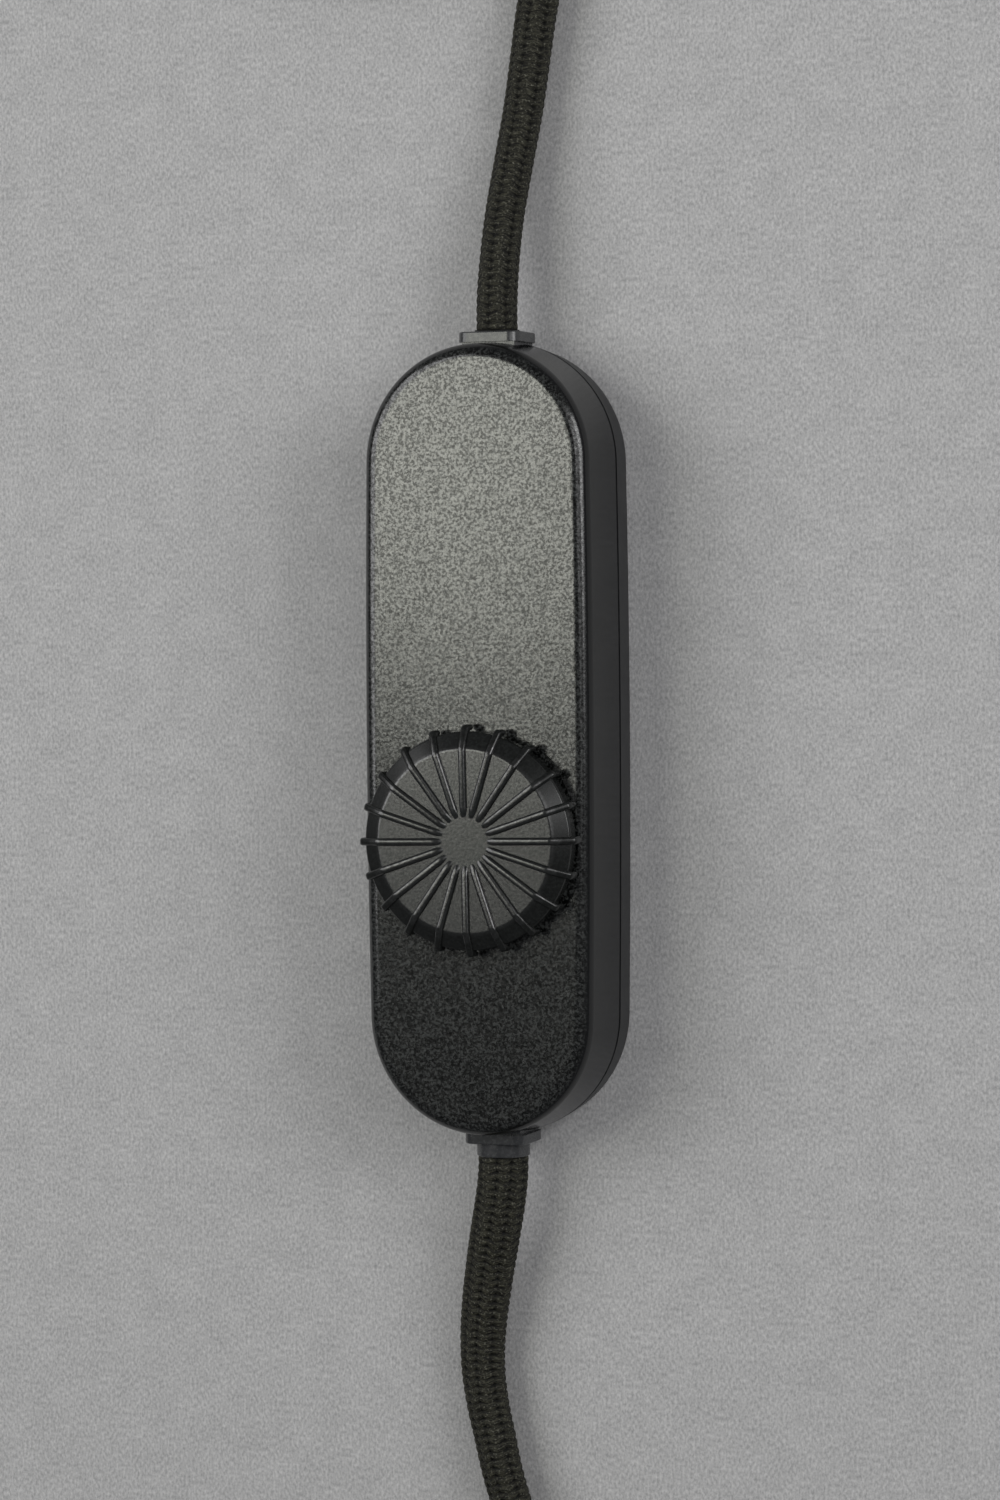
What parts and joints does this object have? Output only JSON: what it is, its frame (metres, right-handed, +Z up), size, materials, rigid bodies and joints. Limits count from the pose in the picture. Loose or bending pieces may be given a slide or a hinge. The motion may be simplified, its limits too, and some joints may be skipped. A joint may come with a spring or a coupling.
{
  "type": "in-line rotary dimmer",
  "caption": "Slim round-ended in-line cord dimmer: two-part housing with a ribbed rotary push knob, cord bushes at both ends, braided cord, flat plug and bare lamp end.",
  "frame": {"origin": "centre of the housing's flat underside", "axes": "+Z up out of the housing's top, +Y along the housing towards the lamp, +X to the right seen from above"},
  "size_m": [0.0457, 0.5517, 0.0353],
  "materials": {
    "housing_plastic": "fine spark-eroded texture on moulded black plastic",
    "knob_plastic": "moulded black plastic, satin, fine texture on the top",
    "bush_plastic": "soft grey-black moulded plastic",
    "braid": "woven black textile sleeve",
    "tie_strap": "woven hook and loop strap",
    "plug_plastic": "black moulded plug plastic",
    "pale_plastic": "cream moulded plastic",
    "nickel": "nickel plated steel or brass",
    "brass": "turned brass",
    "aluminium": "folded aluminium sheet",
    "circuit_board": "green lacquered glass-fibre laminate",
    "phenolic": "brown phenolic moulding",
    "component_black": "black epoxy",
    "switch_plastic": "dark blue moulded plastic",
    "ferrite": "lacquered iron powder core",
    "copper": "enamelled copper wire",
    "film_red": "red epoxy coated film capacitor",
    "can_sleeve": "dark blue sleeve",
    "resistor_coat": "tan lacquer",
    "diac_glass": "blue lacquered glass",
    "fuse_glass": "clear glass tube",
    "live_insulation": "brown core insulation",
    "neutral_insulation": "blue core insulation"
  },
  "bodies": {
    "housing": {"top_cover": "housing_plastic", "bottom_cover": "housing_plastic", "cover_screws": "nickel", "cord_bush_plug_side": "bush_plastic", "cord_bush_lamp_side": "bush_plastic", "clamp_bar_plug_side": "pale_plastic", "clamp_bar_lamp_side": "pale_plastic", "clamp_screws": "nickel", "circuit_board": "circuit_board", "board_leads": "nickel", "potentiometer_case": "phenolic", "potentiometer_bushing": "nickel", "potentiometer_track": "component_black", "potentiometer_pins": "nickel", "switch_case": "switch_plastic", "switch_spring": "nickel", "triac_body": "component_black", "triac_tab": "nickel", "heat_sink": "aluminium", "heat_sink_screw": "nickel", "choke_core": "ferrite", "choke_winding": "copper", "film_capacitor": "film_red", "electrolytic_capacitor": "can_sleeve", "resistors": "resistor_coat", "diac": "diac_glass", "fuse_glass": "fuse_glass", "fuse_caps": "nickel", "fuse_clips": "brass", "terminal_block_plug_side": "pale_plastic", "terminal_block_lamp_side": "pale_plastic", "terminal_screws": "nickel", "live_cores": "live_insulation", "neutral_cores": "neutral_insulation", "cord_inside_plug_side": "braid", "cord_inside_lamp_side": "braid", "cord_plug_side": "braid", "hank_plug_side": "braid", "hank_tie_plug_side": "tie_strap", "plug_strain_relief": "plug_plastic", "plug_body": "plug_plastic", "plug_pin_sleeves": "plug_plastic", "plug_pins": "nickel", "cord_lamp_side": "braid", "hank_lamp_side": "braid", "hank_tie_lamp_side": "tie_strap", "lamp_end_sleeve": "plug_plastic", "lamp_end_cores": "live_insulation", "lamp_end_ferrules": "nickel"},
    "rotor": {"potentiometer_rotor": "pale_plastic", "potentiometer_wiper": "brass"},
    "knob": {"knob": "knob_plastic", "knob_shaft": "brass"},
    "plunger": {"switch_plunger": "pale_plastic"}
  },
  "joints": [
    {"name": "knob_turn", "type": "hinge", "parent": "housing", "child": "rotor", "pos_m": [0, -0.0144, 0.0115], "axis": [0, 0, 1], "range_deg": [-270, 0]},
    {"name": "knob_press", "type": "slide", "parent": "rotor", "child": "knob", "axis": [0, 0, -1], "range_m": [0, 0.0006], "stiffness_N_per_m": 1500, "springref_m": -0.002},
    {"name": "switch_press", "type": "slide", "parent": "housing", "child": "plunger", "axis": [0, 0, -1], "range_m": [0, 0.0006], "deforming": ["switch_spring"]}
  ],
  "couplings": [
    {"joint": "switch_press", "follows": "knob_press", "ratio": 1}
  ]
}
